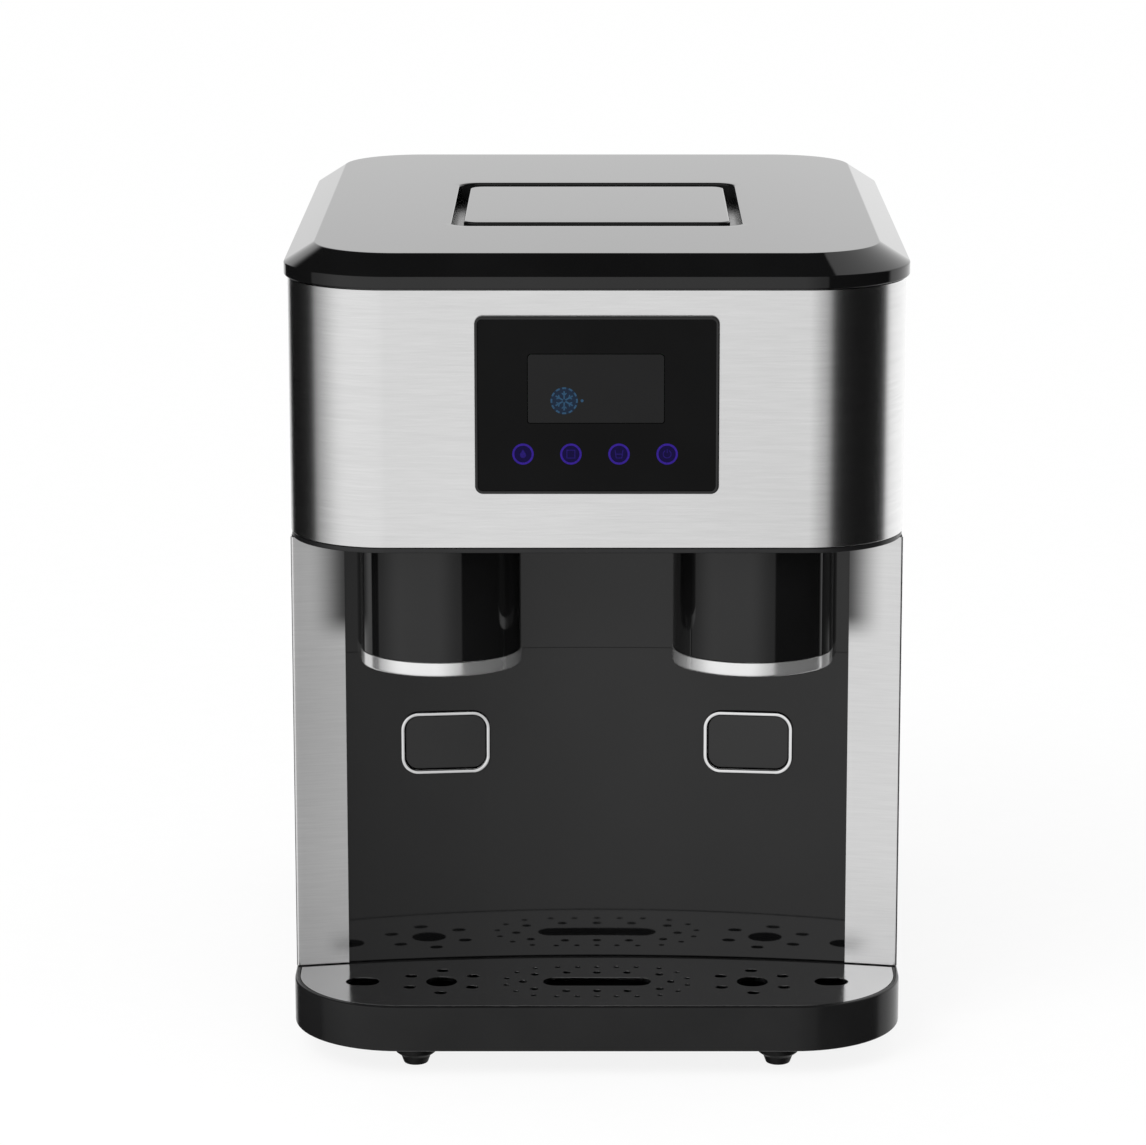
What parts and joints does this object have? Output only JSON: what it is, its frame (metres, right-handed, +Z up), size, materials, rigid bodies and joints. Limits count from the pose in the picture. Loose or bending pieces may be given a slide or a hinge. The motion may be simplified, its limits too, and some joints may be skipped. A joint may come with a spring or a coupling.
{
  "type": "compact ice maker",
  "caption": "Countertop ice and water dispenser with a steel head over two collared outlets, press pads, a lift-out drip tray and grille, and a hinged top hatch.",
  "frame": {"origin": "On the worktop surface under the middle of the machine's bounding box", "axes": "+X to the viewer's right, +Y to the back, +Z up; the serving side faces -Y"},
  "size_m": [0.3346, 0.4538, 0.44],
  "materials": {
    "brushed_steel": "brushed sideways",
    "black_gloss": "glossy",
    "black_plastic": "satin",
    "chrome": "polished",
    "window": "glossy",
    "rubber": "matte",
    "grey_plastic": "satin",
    "white_plastic": "satin",
    "clear_hose": "satin",
    "copper": "satin copper",
    "aluminium": "satin",
    "nickel": "nickel plated",
    "compressor_paint": "satin",
    "circuit_board": "satin"
  },
  "bodies": {
    "cabinet": {"auger_motor": "grey_plastic", "base_pan": "black_plastic", "compressor": "compressor_paint", "condenser": "aluminium", "control_board": "circuit_board", "control_panel": "black_gloss", "discharge_pipe": "copper", "dispense_hose": "clear_hose", "dispense_pump": "grey_plastic", "display_window": "window", "drain_fitting": "grey_plastic", "drain_hose": "rubber", "evaporator": "nickel", "fan_motor": "grey_plastic", "fan_shroud": "black_plastic", "fill_hose": "clear_hose", "fill_pump": "grey_plastic", "filter_drier": "copper", "foot_front_left": "rubber", "foot_front_right": "rubber", "foot_rear_left": "rubber", "foot_rear_right": "rubber", "hatch_pin": "nickel", "head_band": "brushed_steel", "head_deck": "black_plastic", "ice_bin": "white_plastic", "ice_chute": "white_plastic", "ice_frame": "white_plastic", "micro_switch_left": "compressor_paint", "micro_switch_right": "compressor_paint", "outlet_collar_left": "chrome", "outlet_collar_right": "chrome", "outlet_shroud_left": "black_gloss", "outlet_shroud_right": "black_gloss", "pad_bezel_left": "chrome", "pad_bezel_right": "chrome", "pad_housing_left": "grey_plastic", "pad_housing_right": "grey_plastic", "power_board": "circuit_board", "power_inlet": "black_plastic", "rear_panel": "black_plastic", "reservoir": "white_plastic", "side_panel_left": "brushed_steel", "side_panel_right": "brushed_steel", "splash_panel": "black_gloss", "suction_pipe": "copper", "tilt_motor": "grey_plastic", "top_cover": "black_gloss", "water_spout": "white_plastic"},
    "hatch": {"hatch": "black_gloss"},
    "pad_left": {"pad_left": "black_gloss"},
    "pad_right": {"pad_right": "black_gloss"},
    "tray": {"drip_tray": "black_plastic"},
    "grille": {"drip_grille": "black_gloss"},
    "flap": {"chute_flap": "black_plastic"},
    "auger": {"auger": "nickel"},
    "fan": {"fan_blades": "black_plastic"},
    "ice_tray": {"ice_tray": "white_plastic"},
    "float": {"float": "white_plastic"},
    "drain_plug": {"drain_plug": "rubber"}
  },
  "joints": [
    {"name": "hatch_hinge", "type": "hinge", "parent": "cabinet", "child": "hatch", "pos_m": [0, 0.0754, 0.4355], "axis": [-1, 0, 0], "range_deg": [0, 95]},
    {"name": "pad_left_pivot", "type": "hinge", "parent": "cabinet", "child": "pad_left", "pos_m": [-0.08315, -0.13643, 0.1745], "axis": [0.9943, 0.1063, 0], "range_deg": [0, 6], "stiffness_Nm_per_rad": 0.08, "springref_deg": -5.73},
    {"name": "pad_right_pivot", "type": "hinge", "parent": "cabinet", "child": "pad_right", "pos_m": [0.08315, -0.13643, 0.1745], "axis": [0.9943, -0.1063, 0], "range_deg": [0, 6], "stiffness_Nm_per_rad": 0.08, "springref_deg": -5.73},
    {"name": "drip_tray_lift", "type": "slide", "parent": "cabinet", "child": "tray", "axis": [0, 0, 1], "range_m": [0, 0.09]},
    {"name": "grille_lift", "type": "slide", "parent": "tray", "child": "grille", "axis": [0, 0, 1], "range_m": [0, 0.075]},
    {"name": "chute_flap_hinge", "type": "hinge", "parent": "cabinet", "child": "flap", "pos_m": [-0.0844, -0.14809, 0.2755], "axis": [1, 0, 0], "range_deg": [0, 70], "stiffness_Nm_per_rad": 0.002, "springref_deg": -20.05},
    {"name": "auger_spin", "type": "hinge", "parent": "cabinet", "child": "auger", "pos_m": [-0.0844, 0.0869, 0.3126], "axis": [0, 1, 0], "continuous": true},
    {"name": "fan_spin", "type": "hinge", "parent": "cabinet", "child": "fan", "pos_m": [0.05, 0.1828, 0.105], "axis": [0, 1, 0], "continuous": true},
    {"name": "ice_tray_tilt", "type": "hinge", "parent": "cabinet", "child": "ice_tray", "pos_m": [0.03, 0.1839, 0.394], "axis": [1, 0, 0], "range_deg": [0, 75]},
    {"name": "float_slide", "type": "slide", "parent": "cabinet", "child": "float", "axis": [0, 0, 1], "range_m": [0, 0.055]},
    {"name": "drain_plug_pull", "type": "slide", "parent": "cabinet", "child": "drain_plug", "axis": [0, 1, 0], "range_m": [0, 0.03]}
  ]
}
